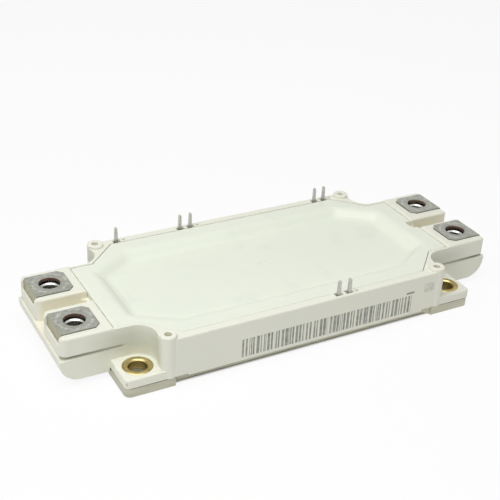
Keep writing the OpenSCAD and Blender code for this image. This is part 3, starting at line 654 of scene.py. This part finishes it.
lidEdges = {                # radii, heights and places in millimetres
    "dish": 1.5,            # at the foot of the dish's slopes
    "seam": 0.2,
    "top": 16.0,
    "level": 0.1,
    "slopeFoot": 12.9,      # the slopes of the dish end just above it
    "dishInner": (54.0, 23.0),
}


def dishRadius(middle, normals):
    s = lidEdges
    inside = abs(middle.x) < s["dishInner"][0] and abs(middle.y) < s["dishInner"][1]
    upwards = all(normal.z > 0.1 for normal in normals)
    return s["dish"] if inside and upwards and middle.z > s["slopeFoot"] else 0


def lidRadius(middle, normals):
    s = lidEdges
    inside = abs(middle.x) < s["dishInner"][0] and abs(middle.y) < s["dishInner"][1]
    return s["seam"] if middle.z > s["top"] - s["level"] and not inside else 0


lid = takeCopy("lid", "lidMoulding", merge=0.02)
roundEdges(lid, dishRadius, segments=6, concave=True)
roundEdges(lid, lidRadius)
finishPiece(lid, "lid")
print("lid", len(lid.data.polygons), "faces")


metalEdges = {              # slot and radius in millimetres of the edges of each kind
    "base_plate": ("base_plate", 0.2),
    "terminal": ("terminal", 0.15),
    "nut": ("nut", 0.2),
    "bushing": ("bushing", 0.12),
    "control_pin": ("pin", 0.08),
}

for nodeName in sorted(nodes):
    kind = next((kind for kind in metalEdges if nodeName.startswith(kind)), None)
    if kind:
        slot, radius = metalEdges[kind]
        piece = takeCopy(nodeName, nodeName + "_rounded")
        roundEdges(piece, lambda middle, normals: radius, segments=2)
        finishPiece(piece, nodeName)
print("metal pieces rounded")


studio = {                  # metres, watts and degrees
    "floorSize": 6.0,
    "floorDrop": 0.0001,        # below the base plate, so that the two never share a plane
    "floorShade": 0.10,         # share of the floor that takes the shadow
    "paper": 0.9,
    "underModule": ((-60, -30, -5), (60, 30, 5)),     # millimetres
    "underSoft": 1,
    "fill": 0.275,
    "keyPlace": (-0.11, -0.075, 0.35),    # above, a little to the front and left
    "keySize": 0.4,
    "keyPower": 1.33,
    "sidePlace": (-0.8, 0.1, 0.2),      # low on the left, for the end faces
    "sideSize": 0.5,
    "sidePower": 0.2,
    "viewAzimuth": -29.738,
    "viewElevation": 29.05,
    "viewRoll": 3.019,
    "viewPlace": (-0.14587, -0.24523, 0.17689),
    "lens": 72.97,              # millimetres
    "sensor": 36,
    "nearest": 0.01,
}


def seenDirectly(tree):
    # 1 for rays that show the background: to the camera, mirrored, or through glass
    rays = addNode(tree, "ShaderNodeLightPath").outputs
    seen = addNode(tree, "ShaderNodeMath", {
        0: rays["Is Camera Ray"], 1: rays["Is Glossy Ray"],
    }, operation="MAXIMUM").outputs[0]
    return addNode(tree, "ShaderNodeMath", {
        0: seen, 1: rays["Is Transmission Ray"],
    }, operation="MAXIMUM").outputs[0]


def addFloor():
    bpy.ops.object.select_all(action="DESELECT")
    bpy.ops.mesh.primitive_plane_add(size=studio["floorSize"], location=(0, 0, -studio["floorDrop"]))
    floor = bpy.context.object
    floor.name = "floor"
    material = bpy.data.materials.new("paperWhite")
    material.use_nodes = True
    tree = material.node_tree
    tree.nodes.clear()
    paper = addNode(tree, "ShaderNodeBsdfDiffuse", {"Color": [studio["paper"]] * 3 + [1]})
    glow = addNode(tree, "ShaderNodeEmission", {"Color": [1, 1, 1, 1], "Strength": 1.0})
    # under the module the paper stays plain, so that its holes look down on shade
    place = addNode(tree, "ShaderNodeTexCoord").outputs["Object"]
    under = insideBox(tree, place, *studio["underModule"], soft=studio["underSoft"])
    beyond = addNode(tree, "ShaderNodeMath", {
        0: 1 - studio["floorShade"], 1: under,
    }, operation="SUBTRACT").outputs[0]
    share = addNode(tree, "ShaderNodeMath", {
        0: seenDirectly(tree), 1: beyond,
    }, operation="MULTIPLY", use_clamp=True)
    mixed = addNode(tree, "ShaderNodeMixShader", {
        0: share.outputs[0], 1: paper.outputs[0], 2: glow.outputs[0],
    })
    addNode(tree, "ShaderNodeOutputMaterial", {0: mixed.outputs[0]})
    floor.data.materials.append(material)


def setWorld():
    world = bpy.data.worlds.new("studio")
    bpy.context.scene.world = world
    world.use_nodes = True
    tree = world.node_tree
    tree.nodes.clear()
    strength = addNode(tree, "ShaderNodeMapRange", {
        "Value": seenDirectly(tree), "To Min": studio["fill"], "To Max": 1.0,
    })
    back = addNode(tree, "ShaderNodeBackground", {
        "Color": [1, 1, 1, 1], "Strength": strength.outputs[0],
    })
    addNode(tree, "ShaderNodeOutputWorld", {0: back.outputs[0]})


def addLamp(name, place, size, power):
    data = bpy.data.lights.new(name, "AREA")
    data.size = size
    data.energy = power
    lamp = bpy.data.objects.new(name, data)
    bpy.context.scene.collection.objects.link(lamp)
    lamp.location = place
    lamp.rotation_mode = "QUATERNION"
    lamp.rotation_quaternion = (-Vector(place)).to_track_quat("-Z", "Y")


def addCamera():
    data = bpy.data.cameras.new("camera")
    data.lens = studio["lens"]
    data.sensor_width = studio["sensor"]
    data.clip_start = studio["nearest"]
    camera = bpy.data.objects.new("camera", data)
    bpy.context.scene.collection.objects.link(camera)
    a = math.radians(studio["viewAzimuth"])
    e = math.radians(studio["viewElevation"])
    back = Vector((math.sin(a) * math.cos(e), -math.cos(a) * math.cos(e), math.sin(e)))
    roll = Quaternion((0, 0, 1), math.radians(studio["viewRoll"]))
    camera.rotation_mode = "QUATERNION"
    camera.rotation_quaternion = (-back).to_track_quat("-Z", "Y") @ roll
    camera.location = studio["viewPlace"]
    bpy.context.scene.camera = camera


addFloor()
setWorld()
addLamp("keyLamp", studio["keyPlace"], studio["keySize"], studio["keyPower"])
addLamp("sideLamp", studio["sidePlace"], studio["sideSize"], studio["sidePower"])
addCamera()
bpy.context.scene.view_settings.view_transform = "Standard"
print("studio ready")
